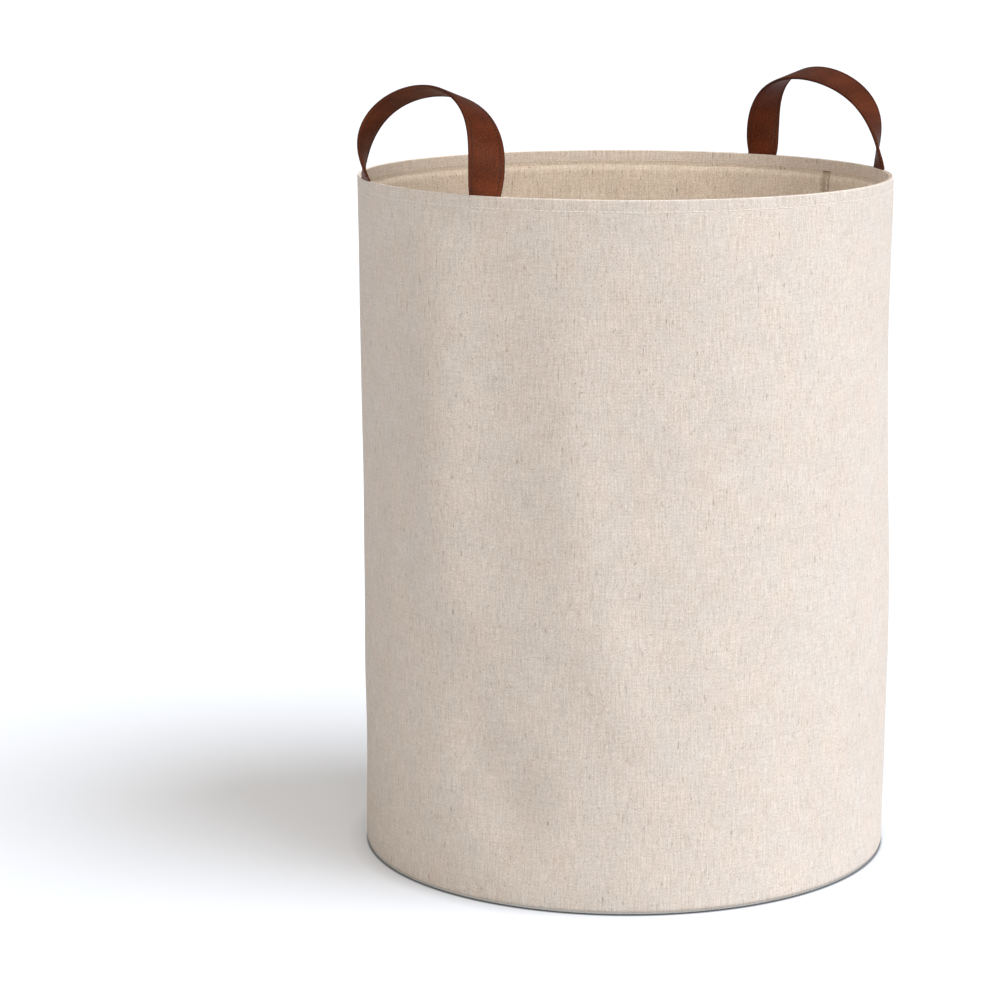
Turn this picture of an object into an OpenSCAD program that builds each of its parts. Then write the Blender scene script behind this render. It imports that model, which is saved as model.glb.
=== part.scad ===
// Round fabric storage bin: a stiffened canvas tube on a flat base, with a stitched hem round
// its mouth and two leather loop handles sewn into the hem. Millimetres, +Z up. The origin is
// the middle of the underside and -Y is the front. The right handle is centred on +X, and the
// left one on -X, apart from the small turn of left_swing.

/* [Bin] */
// Outer diameter of the wall
bin_d = 350; // [300:10:420]
// Height from the floor to the rim
bin_h = 450; // [350:10:550]

/* [Fabric layers] */
// Thickness of the outer canvas
canvas_t = 0.8; // [0.6:0.1:1.2]
// Thickness of the foam stiffener between the canvas and the lining
core_t = 2.4; // [2.2:0.1:4]
// Thickness of the lining canvas
lining_t = 0.8; // [0.5:0.1:1.2]
// Thickness of the facing tape inside the hem
facing_t = 0.6; // [0.4:0.1:1]
// Height of the facing tape inside the hem
facing_h = 9; // [9:0.5:14]
// How far the hem stitches lie below the rim
stitch_drop = 7.3; // [7:0.1:8]

/* [Base] */
// Thickness of the base board
board_t = 3; // [2:0.5:5]
// Height of the binding tape in the inner corner of the base
binding_h = 10; // [6:1:16]
// Thickness of the folded binding tape
binding_t = 1.4; // [1:0.1:2]

/* [Seam] */
// Width of the tape that covers the upright seam inside
seam_tape_w = 8; // [6:0.5:14]
// Thickness of the seam tape
seam_tape_t = 0.8; // [0.5:0.1:1.2]

/* [Rim hoop] */
// Height of the flat spring strip in the hem
hoop_h = 5; // [3:0.5:5]
// Thickness of the flat spring strip
hoop_t = 1; // [0.6:0.1:1]
// Length of the clip that joins the ends of the strip
clip_l = 24; // [16:1:40]

/* [Handles] */
// Width of the leather strap
strap_w = 22.5; // [20:0.5:30]
// Thickness of the whole strap
strap_t = 2; // [1.8:0.1:2.4]
// Half of the angle between a handle's two roots, seen from above
root_angle = 21.5; // [20:0.5:26]
// How far round the bin the left handle is sewn from straight opposite the right one, in degrees
left_swing = 4.2; // [-6:0.1:6]
// How far each strap end reaches down inside the hem
end_depth = 26; // [20:1:34]
// How far the fold line of a handle lies above the rim
fold_lift = 12; // [11:0.5:16]

/* [Hidden] */
$fn = 128;

// Radii of the layers, from outside to inside
wall_r = bin_d / 2;
core_r = wall_r - canvas_t;
lining_r = core_r - core_t;
facing_r = lining_r - lining_t;
mouth_r = facing_r - facing_t;
strap_r = (core_r + lining_r) / 2;

// Levels in the base
board_top = canvas_t + board_t;
floor_top = board_top + lining_t;
binding_top = floor_top + binding_h;

// Levels in the hem
facing_low = bin_h - facing_h;
stitch_z = bin_h - stitch_drop;
thread_w = 0.6;
thread_t = 0.25;
tack_z = stitch_z - 2.4;
tack_w = strap_w - 3;
hoop_top = bin_h - canvas_t - 0.6;
hoop_low = hoop_top - hoop_h;
clip_wall = 0.4;
core_top = stitch_z - 1.2;
end_low = bin_h - end_depth;
// Leather layers are skived to this thickness where they lie in the hem
end_layer_t = (core_t - hoop_t) / 2;
slot_w = strap_w + 0.6;

// Angles about Z of the four strap roots, each handle's front root first
right_roots = [-root_angle, root_angle];
left_middle = 180 + left_swing;
left_roots = [left_middle + root_angle, left_middle - root_angle];
all_roots = concat(right_roots, left_roots);
clip_angle = 90;
seam_tape_angle = asin(seam_tape_w / 2 / facing_r);
seam_stitch_inset = 1.6;
cord_r = 0.25;
// Room that a cutting shape has past the surface it cuts
past = 1;

// Layers of the strap, as distances from its middle surface
core_tape_t = 0.3;
glue_gap = 0.02;
layer_low = core_tape_t / 2 + glue_gap;
strap_half_t = strap_t / 2;
strap_thread_t = 0.25;
// Distance from the middle surface to the outside of the stitches
strap_reach = strap_half_t + glue_gap + strap_thread_t;
strap_rows = 40;

// Lines along the strap, as distances from its centre line: its edges and its stitch rows
strap_half = strap_w / 2;
stitch_out = strap_half - 2.3;
stitch_in = strap_half - 2.8;
strap_lines = [
    -strap_half, -stitch_out, -stitch_in, -stitch_in / 2, 0,
    stitch_in / 2, stitch_in, stitch_out, strap_half
];
core_lines = [for (i = [1:len(strap_lines) - 2]) strap_lines[i]];

canvas_colour = [0.88, 0.85, 0.8];
lining_colour = [0.8, 0.74, 0.67];
thread_colour = [0.83, 0.79, 0.72];
leather_colour = [0.36, 0.17, 0.1];
leather_thread_colour = [0.12, 0.07, 0.05];

// ---- Loop geometry ----

// Each loop is worked out in its handle's own frame: X along the chord from the first root to
// the second, Y outward from the bin, Z up, with the origin on the bin's axis at rim level.
// The first root is the front one on the left handle and the rear one on the right handle.
// A loop holds the control points of its two legs, each as distances [inward from its root along
// the chord, outward, up], listed from the first root to the second, then the control values of
// its turn: the angle between its width and the outward direction, in the same order.
left_loop = [
    [[-5, 0, 45], [10, -15, 75]],
    [[10, -20, 70], [-5, 10, 45]],
    [-10, 65, 10, 15, 0]
];
right_loop = [
    [[5, 0, 35], [-10, -5, 85]],
    [[10, -10, 60], [5, 5, 55]],
    [-10, 50, 0, 40, -10]
];

half_span = strap_r * sin(root_angle);
chord_out = strap_r * cos(root_angle);
wall_turn = 90 - root_angle;
curve_degree = len(left_loop[0]) + len(left_loop[1]) + 1;
// Nothing that turns with a handle comes nearer to the rim than this distance from its fold line
fold_r = fold_lift - 0.4;

function unit(v) = v / norm(v);
function choose(n, k) = k == 0 ? 1 : choose(n, k - 1) * (n - k + 1) / k;
function total(list, i = 0) = i == len(list) - 1 ? list[i] : list[i] + total(list, i + 1);
function bezier(points, u) =
    let(n = len(points) - 1)
    total([for (k = [0:n]) choose(n, k) * pow(1 - u, n - k) * pow(u, k) * points[k]]);
function steps(points) = [for (k = [1:len(points) - 1]) points[k] - points[k - 1]];
function control_points(loop) = concat(
    [for (p = concat([[0, 0, 0]], loop[0])) [p.x - half_span, p.y + chord_out, p.z]],
    [for (p = concat(loop[1], [[0, 0, 0]])) [half_span - p.x, p.y + chord_out, p.z]]
);
function turn(loop, u) = bezier(concat([-wall_turn], loop[2], [-wall_turn]), u);

// A point on the strap: u runs along it, across is measured from its centre line, out from its
// middle surface towards the outer face
function strap_point(points, loop, u, across, out) =
    let(
        along = unit(bezier(steps(points), u)),
        outward = unit([0, 1, 0] - along.y * along),
        aside = cross(along, outward),
        a = turn(loop, u),
        width_dir = cos(a) * outward + sin(a) * aside,
        face_dir = cross(along, width_dir)
    )
    bezier(points, u) + across * width_dir + out * face_dir;

// Whether the strap, at u and a distance across it, lies inside the circle round the fold line
// that clears the rim
function clears(points, loop, u, across) =
    max([for (out = [-strap_reach, strap_reach])
        let(p = strap_point(points, loop, u, across, out))
        norm([p.y - chord_out, p.z - fold_lift])
    ]) < fold_r;

// Where a line of the strap ends, as a share of its length: the place nearest to the hidden share
// that clears the rim, found by halving the part between it and a share that is clear
function line_end(points, loop, across, hidden, clear, halvings = 10) =
    let(middle = (hidden + clear) / 2)
    halvings == 0 ? clear :
    clears(points, loop, middle, across)
        ? line_end(points, loop, across, hidden, middle, halvings - 1)
        : line_end(points, loop, across, middle, clear, halvings - 1);

// ---- Shared shapes ----

// A round band between two radii and two levels
module ring(r_out, thickness, z_low, z_high) {
    rotate_extrude()
        translate([r_out - thickness, z_low])
            square([thickness, z_high - z_low]);
}

// The piece of a ring that a strip of the given width covers, at an angle about Z
module ring_patch(r_out, thickness, z_low, z_high, angle, width) {
    intersection() {
        ring(r_out, thickness, z_low, z_high);
        rotate([0, 0, angle])
            translate([0, -width / 2, z_low - past])
                cube([r_out + past, width, z_high - z_low + 2 * past]);
    }
}

// A flat round disc between two levels
module disc(r, z_low, z_high) {
    translate([0, 0, z_low])
        cylinder(r = r, h = z_high - z_low);
}

// ---- Wall ----

// Canvas tube whose top edge is turned in over the core, open where the straps come out
module outer_wall() {
    color(canvas_colour)
    difference() {
        rotate_extrude()
            polygon([
                [core_r, 0], [wall_r, 0], [wall_r, bin_h],
                [lining_r, bin_h], [lining_r, bin_h - canvas_t], [core_r, bin_h - canvas_t]
            ]);
        for (angle = all_roots) {
            ring_patch(core_r, core_t + past, bin_h - canvas_t - past, bin_h + past, angle, slot_w);
            ring_patch(wall_r + past, thread_t + past, tack_z - thread_w / 2, tack_z + thread_w / 2,
                angle, tack_w);
        }
        ring(wall_r + past, thread_t + past, stitch_z - thread_w / 2, stitch_z + thread_w / 2);
    }
}

// Foam sheet between the canvas and the lining, notched where the strap ends go down
module wall_stiffener() {
    color([0.93, 0.93, 0.9])
    difference() {
        ring(core_r, core_t, canvas_t, core_top);
        for (angle = all_roots)
            ring_patch(core_r + past, core_t + 2 * past, end_low, core_top + past, angle, slot_w);
    }
}

// Inner canvas tube, standing on the base lining
module wall_lining() {
    color(lining_colour)
        ring(lining_r, lining_t, floor_top, bin_h);
}

// Tape stitched down round the inside of the mouth
module hem_facing() {
    color(lining_colour)
    difference() {
        ring(facing_r, facing_t, facing_low, bin_h);
        ring(mouth_r + thread_t, thread_t + past, stitch_z - thread_w / 2, stitch_z + thread_w / 2);
    }
}

// Flat spring strip that keeps the mouth round, open where the clip joins its ends
module rim_hoop() {
    color([0.55, 0.57, 0.6])
    difference() {
        ring(strap_r + hoop_t / 2, hoop_t, hoop_low, hoop_top);
        rotate([0, 0, clip_angle])
            translate([strap_r - 2, -0.5, hoop_low - past])
                cube([4, 1, hoop_h + 2 * past]);
    }
}

// Folded metal sleeve round the two ends of the hoop
module hoop_clip() {
    color([0.7, 0.7, 0.72])
    difference() {
        ring_patch(strap_r + hoop_t / 2 + clip_wall, hoop_t + 2 * clip_wall,
            hoop_low - clip_wall, hoop_top + clip_wall, clip_angle, clip_l);
        ring(strap_r + hoop_t / 2, hoop_t, hoop_low, hoop_top);
    }
}

// Tape over the upright seam, inside the bin at the middle of the right handle
module side_seam_tape() {
    color(lining_colour)
        ring_patch(facing_r, seam_tape_t, binding_top, facing_low, seam_tape_angle, seam_tape_w);
}

// ---- Base ----

// Canvas disc under the board
module base_cover() {
    color(canvas_colour)
        disc(core_r, 0, canvas_t);
}

// Stiff disc that keeps the base flat
module base_board() {
    color([0.6, 0.5, 0.38])
        disc(lining_r - past, canvas_t, board_top);
}

// Canvas disc that covers the board inside
module base_lining() {
    color(lining_colour)
        disc(lining_r, board_top, floor_top);
}

// Folded tape that encloses the seam allowances in the inner corner
module base_seam_binding() {
    color(lining_colour)
        ring(facing_r, binding_t, floor_top, binding_top);
}

// ---- Thread ----

// The two sides of the lockstitch row round the hem
module hem_thread() {
    color(thread_colour)
    for (r_out = [wall_r, mouth_r + thread_t])
        ring(r_out, thread_t, stitch_z - thread_w / 2, stitch_z + thread_w / 2);
}

// One bar of extra stitches below the hem row at each strap end
module strap_tack_thread() {
    color(thread_colour)
    for (angle = all_roots)
        ring_patch(wall_r, thread_t, tack_z - thread_w / 2, tack_z + thread_w / 2, angle, tack_w);
}

// Two rows of stitches down the seam tape
module side_seam_thread() {
    row_r = facing_r - seam_tape_t - cord_r;
    swing = asin((seam_tape_w / 2 - seam_stitch_inset) / row_r);
    color(thread_colour)
    for (side = [-1, 1])
        rotate([0, 0, seam_tape_angle + side * swing])
            translate([row_r, 0, binding_top])
                cylinder(r = cord_r, h = facing_low - binding_top, $fn = 24);
}

// Stitch row round the binding
module base_seam_thread() {
    color(thread_colour)
    rotate_extrude()
        translate([facing_r - binding_t - cord_r, floor_top + binding_h * 0.7])
            circle(r = cord_r, $fn = 24);
}

// ---- Handles ----

// Skived ends of the two leather layers, which pass outside and inside the hoop
module strap_end(angle) {
    color(leather_colour)
    for (r_out = [core_r, lining_r + end_layer_t])
        ring_patch(r_out, end_layer_t, end_low, bin_h, angle, strap_w);
}

// A ribbon that follows the strap, between two distances across it and two through it
module ribbon(loop, lines, out, thickness) {
    points = control_points(loop);
    rows = strap_rows;
    cols = len(lines) - 1;
    vertices = [
        for (face = [-1, 1]) for (across = lines)
            let(
                first_clear = fold_lift / (curve_degree * loop[0][0].z),
                last_clear = 1 - fold_lift / (curve_degree * loop[1][len(loop[1]) - 1].z),
                first = line_end(points, loop, across, 0, first_clear),
                last = line_end(points, loop, across, 1, last_clear)
            )
            for (i = [0:rows])
                strap_point(points, loop, first + (last - first) * i / rows, across,
                    out + face * thickness / 2)
    ];
    line = rows + 1;
    sheet = (cols + 1) * line;
    quads = concat(
        [for (j = [0:cols - 1]) for (i = [0:rows - 1])
            let(a = j * line + i) [a, a + line, a + line + 1, a + 1]],
        [for (j = [0:cols - 1]) for (i = [0:rows - 1])
            let(a = sheet + j * line + i) [a, a + 1, a + line + 1, a + line]],
        [for (i = [0:rows - 1]) [i, i + 1, sheet + i + 1, sheet + i]],
        [for (i = [0:rows - 1]) let(a = cols * line + i) [a, sheet + a, sheet + a + 1, a + 1]],
        [for (j = [0:cols - 1]) let(a = j * line) [a, sheet + a, sheet + a + line, a + line]],
        [for (j = [0:cols - 1]) let(a = j * line + rows) [a, a + line, sheet + a + line, sheet + a]]
    );
    triangles = [for (q = quads) each [[q[0], q[2], q[1]], [q[0], q[3], q[2]]]];
    polyhedron(points = vertices, faces = triangles);
}

// Puts a loop on the rim, with its middle at an angle about Z
module at_angle(middle) {
    rotate([0, 0, middle - 90])
        translate([0, 0, bin_h])
            children();
}

module handle_face(loop) {
    color(leather_colour)
        ribbon(loop, strap_lines, (strap_half_t + layer_low) / 2, strap_half_t - layer_low);
}

module handle_backing(loop) {
    color(leather_colour)
        ribbon(loop, strap_lines, -(strap_half_t + layer_low) / 2, strap_half_t - layer_low);
}

// Reinforcing tape between the two leather layers
module handle_core(loop) {
    color([0.85, 0.83, 0.78])
        ribbon(loop, core_lines, 0, core_tape_t);
}

// Two rows of edge stitching, on both faces of the strap
module handle_thread(loop) {
    color(leather_thread_colour)
    for (lines = [[-stitch_out, -stitch_in], [stitch_in, stitch_out]])
        for (face = [-1, 1])
            ribbon(loop, lines, face * (strap_half_t + glue_gap + strap_thread_t / 2), strap_thread_t);
}

outer_wall();
wall_stiffener();
wall_lining();
hem_facing();
rim_hoop();
hoop_clip();
side_seam_tape();
base_cover();
base_board();
base_lining();
base_seam_binding();
hem_thread();
strap_tack_thread();
side_seam_thread();
base_seam_thread();
strap_end(left_roots[0]);  // left_handle_front_end
strap_end(left_roots[1]);  // left_handle_rear_end
strap_end(right_roots[0]);  // right_handle_front_end
strap_end(right_roots[1]);  // right_handle_rear_end
at_angle(left_middle) handle_face(left_loop);  // left_handle_face
at_angle(left_middle) handle_core(left_loop);  // left_handle_core
at_angle(left_middle) handle_backing(left_loop);  // left_handle_backing
at_angle(left_middle) handle_thread(left_loop);  // left_handle_thread
at_angle(0) handle_face(right_loop);  // right_handle_face
at_angle(0) handle_core(right_loop);  // right_handle_core
at_angle(0) handle_backing(right_loop);  // right_handle_backing
at_angle(0) handle_thread(right_loop);  // right_handle_thread
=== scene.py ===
"""A round canvas storage bin with two leather loop handles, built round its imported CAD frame.

Lengths are in millimetres and angles in degrees until a mesh is made, and Blender is in metres.
+Z is up. The right handle is centred on +X and the left one is nearly opposite.
"""

import math

import bpy
import numpy as np
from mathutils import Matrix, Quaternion, Vector


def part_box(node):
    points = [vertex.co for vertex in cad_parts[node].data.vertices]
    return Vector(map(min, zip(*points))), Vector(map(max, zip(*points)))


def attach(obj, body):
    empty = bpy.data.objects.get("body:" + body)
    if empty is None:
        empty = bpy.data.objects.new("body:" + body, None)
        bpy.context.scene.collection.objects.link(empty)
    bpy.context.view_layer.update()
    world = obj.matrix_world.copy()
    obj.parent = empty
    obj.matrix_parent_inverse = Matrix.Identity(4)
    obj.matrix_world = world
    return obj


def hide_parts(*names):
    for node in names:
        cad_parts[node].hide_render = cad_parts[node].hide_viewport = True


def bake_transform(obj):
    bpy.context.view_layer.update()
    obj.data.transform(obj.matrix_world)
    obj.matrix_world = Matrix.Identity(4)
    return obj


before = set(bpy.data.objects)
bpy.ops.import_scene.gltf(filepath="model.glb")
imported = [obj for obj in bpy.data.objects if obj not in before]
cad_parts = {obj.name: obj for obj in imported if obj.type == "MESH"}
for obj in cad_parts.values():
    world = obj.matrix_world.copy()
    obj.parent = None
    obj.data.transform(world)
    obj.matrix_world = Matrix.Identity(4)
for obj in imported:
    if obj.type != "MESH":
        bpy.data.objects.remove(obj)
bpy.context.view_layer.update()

MM = 0.001
SEED = 7

# ---- Sizes, from the frame ----


def outer_radius(node):
    """The radius of a round CAD node, in millimetres."""
    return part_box(node)[1].x / MM


def level(node, top=True):
    """The height of the top or the bottom of a CAD node, in millimetres."""
    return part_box(node)[1 if top else 0].z / MM


WALL_R = outer_radius("outer_wall")
CORE_R = outer_radius("wall_stiffener")
LINING_R = outer_radius("wall_lining")
FACING_R = outer_radius("hem_facing")
THREAD_H = level("hem_thread") - level("hem_thread", top=False)
RIM_Z = level("outer_wall")
CORE_TOP = level("wall_stiffener")
FACING_LOW = level("hem_facing", top=False)
STITCH_Z = level("hem_thread") - THREAD_H / 2
TACK_Z = level("strap_tack_thread") - THREAD_H / 2
END_LOW = level("right_handle_front_end", top=False)
BOARD_TOP = level("base_board")
FLOOR_TOP = level("base_lining")
BINDING_TOP = level("base_seam_binding")
BINDING_THREAD_T = 0.5
BINDING_STITCH_Z = level("base_seam_thread") - BINDING_THREAD_T / 2
CANVAS_T = WALL_R - CORE_R
FACING_T = 0.6
BINDING_T = 1.4
TAPE_T = 0.8
TAPE_W = 8.0
CLIP_T = 1.6
CLIP_L = 24.0
STRAP_R = (CORE_R + LINING_R) / 2
STRAP_W = 22.5
STRAP_T = 2.0
ROOT_ANGLE = 21.5
LEFT_SWING = 4.2
RIGHT_MIDDLE = 0.0
LEFT_MIDDLE = 180.0 + LEFT_SWING
SLOT_W = STRAP_W + 0.8
HANDLE_MIDDLES = {"left": LEFT_MIDDLE, "right": RIGHT_MIDDLE}
ALL_ROOTS = [middle + side * ROOT_ANGLE for middle in HANDLE_MIDDLES.values() for side in (-1, 1)]

# The direction that the camera looks from, as an angle about Z
VIEW_ANGLE = 237.4


def smooth(x):
    """0 below 0, 1 above 1 and an even curve between."""
    c = np.clip(x, 0, 1)
    return c * c * (3 - 2 * c)


def angle_off(angle, centre):
    """The signed turn from centre to angle, in degrees."""
    return (np.asarray(angle, float) - centre + 180) % 360 - 180


def bell(x, middle, width):
    """1 at the middle, and less and less to either side of it."""
    return np.exp(-(((x - middle) / width) ** 2))


def unit(vectors):
    """Rows of vectors, each brought to length 1."""
    return vectors / np.linalg.norm(vectors, axis=1)[:, None]


# ---- The soft wall's shape ----

# Dents (-) and bulges (+): degrees to the right of the camera's side, height, half-width in
# degrees, half-height and depth
WALL_DENTS = [
    (-42, 290, 9, 170, 9.5),
    (-70, 240, 10, 200, -2.5),
    (-13, 270, 7.5, 110, 3.6),
    (-6, 175, 6, 40, 2.4),
    (-2, 128, 6, 42, 1.8),
    (-43, 160, 7, 38, -3.2),
    (-35, 110, 7, 36, -4.4),
    (-26, 64, 7, 34, -5.0),
    (86, 335, 26, 80, -1.6),
    (86, 150, 24, 90, 2.2),
    (-84, 250, 22, 110, -0.8),
    (-84, 60, 20, 50, -0.8),
    (130, 300, 7, 120, 1.5),
    (150, 160, 8, 60, -1.6),
    (190, 240, 7, 130, 1.6),
    (215, 110, 9, 50, -1.5),
    (245, 300, 6, 90, 1.4),
]
RIM_RISE = 1.0


def ripple(angle, z, waves, longest, seed):
    """An even mix of long waves round and up the wall, about 1 in size."""
    draw = np.random.default_rng(seed)
    total = np.zeros_like(np.asarray(z, float) + np.asarray(angle, float))
    for _ in range(waves):
        count = draw.integers(1, int(2 * math.pi * WALL_R / longest) * 3)
        up = draw.uniform(-1, 1) * 2 * math.pi / longest * 2
        phase = draw.uniform(0, 2 * math.pi)
        total = total + np.sin(np.radians(angle) * count + up * z + phase)
    return total / math.sqrt(waves / 2)


def wall_shift(angle, z):
    """How far the whole wall stands out from its round shape, at each place."""
    free = smooth((z - 4) / 50) * smooth((RIM_Z - 12 - z) / 30)
    total = 0.14 * ripple(angle, z, 14, 160, SEED)
    for turn, height, wide, tall, depth in WALL_DENTS:
        off = angle_off(angle, VIEW_ANGLE + turn)
        total = total + depth * np.exp(-((off / wide) ** 2) - ((z - height) / tall) ** 2)
    return free * total


def rim_lift(angle, z):
    """The rim is not quite level: a little high on the left as the camera sees it."""
    off = np.radians(angle_off(angle, VIEW_ANGLE))
    return -RIM_RISE * np.sin(off) * smooth((z - RIM_Z + 120) / 120)


def lining_slack(angle, z):
    """How far the inner cloth stands in from the foam: puckers under the hem and soft waves."""
    hem = bell(z - FACING_LOW, -2, 14)
    puckers = 0.5 + 0.5 * np.sin(np.radians(angle) * 58 + 1.6 * np.sin(np.radians(angle) * 7))
    waves = 0.5 + 0.5 * ripple(angle, z, 10, 120, SEED + 1) / 2.5
    free = smooth((z - FLOOR_TOP) / 30) * smooth((FACING_LOW + 4 - z) / 24)
    return 0.25 * hem * puckers + 1.2 * free * np.clip(waves, 0, 1)


# The hem has no foam in it, so its layers lie at this share of their distance behind the canvas
HEM_PINCH = 0.62
# The foam thins out over this height below its top
PINCH_RISE = 5
# The base stays flat inside this radius, and the wall's own shape is full this much further out
FLAT_R = 120
FLAT_TO_WALL = 45


def in_hem(z):
    """1 at the hem, 0 where the foam has its full thickness."""
    return smooth((z - CORE_TOP + PINCH_RISE) / PINCH_RISE)


def pinched(r, z):
    """Where a point of the wall lies once the hem is sewn flat."""
    pinch = 1 - (1 - HEM_PINCH) * in_hem(z)
    return WALL_R - (WALL_R - r) * pinch


def warp(points):
    """Moves points of the true round shape to where the soft bin has them."""
    x, y, z = points.T
    r = np.hypot(x, y)
    angle = np.degrees(np.arctan2(y, x))
    near_wall = smooth((r - FLAT_R) / FLAT_TO_WALL)
    r_new = pinched(r, z) + near_wall * wall_shift(angle, z)
    k = r_new / np.maximum(r, 1e-6)
    return np.stack([x * k, y * k, z + near_wall * rim_lift(angle, z)], axis=1)


def warp_grid(points):
    """The same for a grid of points."""
    return warp(points.reshape(-1, 3)).reshape(points.shape)


# ---- Mesh helpers ----


def make_mesh(name, points, faces, uvs=None):
    """A smooth-shaded mesh object, from millimetres. uvs holds one pair for each face corner."""
    mesh = bpy.data.meshes.new(name)
    mesh.from_pydata((np.asarray(points) * MM).tolist(), [], [list(map(int, f)) for f in faces])
    if uvs is not None:
        layer = mesh.uv_layers.new(name="cloth")
        layer.data.foreach_set("uv", np.asarray(uvs, np.float32).ravel())
    mesh.update()
    mesh.polygons.foreach_set("use_smooth", [True] * len(mesh.polygons))
    piece = bpy.data.objects.new(name, mesh)
    bpy.context.scene.collection.objects.link(piece)
    return piece


def grid_faces(rows, cols, row_loop, col_loop):
    """Quads of a grid, as four index arrays for rows and columns, closed where asked."""
    i = np.arange(rows if row_loop else rows - 1)
    j = np.arange(cols if col_loop else cols - 1)
    ii, jj = np.meshgrid(i, j, indexing="ij")
    ii, jj = ii.ravel(), jj.ravel()
    return ii, jj, ii + 1, jj + 1


def grid_mesh(name, points, u, v, row_loop=True, col_loop=True, caps=False, flip=False):
    """A mesh from a grid of points. u goes along rows and v along columns, in millimetres, one
    longer than the grid where it closes on itself. caps closes the first and last rows."""
    rows, cols = points.shape[:2]
    i0, j0, i1, j1 = grid_faces(rows, cols, row_loop, col_loop)
    a, b = (i0 % rows) * cols + j0 % cols, (i1 % rows) * cols + j0 % cols
    c, d = (i1 % rows) * cols + j1 % cols, (i0 % rows) * cols + j1 % cols
    quads = np.stack([a, b, c, d], axis=1)
    corners = np.stack([np.stack([u[i], v[j]], axis=1) for i, j in
                        ((i0, j0), (i1, j0), (i1, j1), (i0, j1))], axis=1)
    if flip:
        quads, corners = quads[:, ::-1], corners[:, ::-1]
    faces = [tuple(q) for q in quads]
    uvs = list(corners.reshape(-1, 2) * MM)
    if caps:
        first = list(range(cols))
        last = [(rows - 1) * cols + k for k in range(cols)]
        for ring, row, back in ((first, 0, not flip), (last, rows - 1, flip)):
            ring = ring[::-1] if back else ring
            faces.append(tuple(ring))
            uvs.extend([np.array([u[row], v[k % cols]]) * MM for k in ring])
    return make_mesh(name, points.reshape(-1, 3), faces, uvs)


def cylinder_points(angle, r, z):
    """Points from angle in degrees, radius and height."""
    a = np.radians(angle)
    return np.stack([r * np.cos(a), r * np.sin(a), z + 0 * r], axis=-1)


def sweep(angles, profile):
    """Grids of the angle, radius and height of a profile of (r, z) at each of the angles."""
    r, z = np.array(profile, float).T
    a = angles[:, None] + 0 * r
    return a, r + 0 * a, z + 0 * a


def tube(name, profile, angles, slack=None, finish=None):
    """A closed band swept round the axis. profile is a closed loop of (r, z), outer side first
    and going up; slack moves its points inward, and finish edits the grid before the warp."""
    a, r, z = sweep(angles, profile)
    if slack is not None:
        r = r - slack(a, z)
    if finish is not None:
        r, z = finish(a, r, z)
    points = cylinder_points(a, r, z)
    loop = np.array([*profile, profile[0]], float)
    v = np.concatenate([[0], np.cumsum(np.hypot(*np.diff(loop, axis=0).T))]) + profile[0][1]
    u = np.append(angles, angles[0] + 360) / 360 * 2 * math.pi * WALL_R
    return grid_mesh(name, warp_grid(points), u, v)


def patch(name, r_out, thickness, z_low, z_high, angle_low, angle_high, cols, rows, slack=None):
    """A closed piece of cloth that covers part of a band, with rounded long edges."""
    edge = thickness / 2
    width = math.radians(angle_high - angle_low) * r_out
    lines = [0, edge * 0.4, edge, *np.linspace(edge, width - edge, cols)[1:-1], width - edge,
             width - edge * 0.4, width]
    lift = [0, 0.7, 1, *[1] * (cols - 2), 1, 0.7, 0]
    angles = np.array([angle_low + math.degrees(w / r_out) for w in lines])
    lift = np.array(lift)
    z = np.linspace(z_low, z_high, rows)
    outer, inner = (r_out - thickness / 2 + side * lift * thickness / 2 for side in (1, -1))
    ring_a = np.concatenate([angles, angles[::-1][1:-1]])
    ring_r = np.concatenate([outer, inner[::-1][1:-1]])
    ring_u = np.concatenate([lines, lines[::-1][1:-1], lines[:1]])
    a = ring_a[None, :] + 0 * z[:, None]
    r = ring_r[None, :] + 0 * z[:, None]
    zz = z[:, None] + 0 * r
    if slack is not None:
        r = r - slack(a, zz)
    points = cylinder_points(a, r, zz)
    u = np.array(ring_u)
    return grid_mesh(name, warp_grid(points), z, u, row_loop=False, caps=True)


def around(step, r=WALL_R):
    """Angles round the whole bin, about step millimetres apart at the radius r."""
    count = int(round(2 * math.pi * r / step))
    return np.arange(count) * 360 / count


# ---- Stitches ----

STITCH_RINGS = [(-0.5, 0.35), (-0.38, 0.85), (-0.14, 1.0), (0.14, 1.0), (0.38, 0.85), (0.5, 0.35)]
STITCH_SIDES = 6


def stitches(name, places, tangents, outs, length, thick, lift, draw):
    """One mesh of thread bars. Each dips into the cloth at both ends and stands up between."""
    places, tangents, outs = (np.asarray(x, float) for x in (places, tangents, outs))
    sides = np.cross(tangents, outs)
    points, faces = [], []
    turns = np.arange(STITCH_SIDES) * 2 * math.pi / STITCH_SIDES
    per = len(STITCH_RINGS) * STITCH_SIDES
    for k in range(len(places)):
        size = length * draw.uniform(0.93, 1.05)
        lean = draw.normal(0, 0.05)
        along = tangents[k] + lean * sides[k]
        base = k * per
        for share, wide in STITCH_RINGS:
            rise = lift * (1 - (2 * share) ** 4) - thick * 0.35
            centre = places[k] + along * share * size + outs[k] * rise
            for t in turns:
                points.append(centre + thick / 2 * wide
                              * (math.cos(t) * sides[k] + math.sin(t) * outs[k]))
        for ring in range(len(STITCH_RINGS) - 1):
            for s in range(STITCH_SIDES):
                a = base + ring * STITCH_SIDES + s
                b = base + ring * STITCH_SIDES + (s + 1) % STITCH_SIDES
                faces.append((a, b, b + STITCH_SIDES, a + STITCH_SIDES))
        faces.append(tuple(base + s for s in range(STITCH_SIDES))[::-1])
        faces.append(tuple(base + per - STITCH_SIDES + s for s in range(STITCH_SIDES)))
    return make_mesh(name, points, faces)


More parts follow.
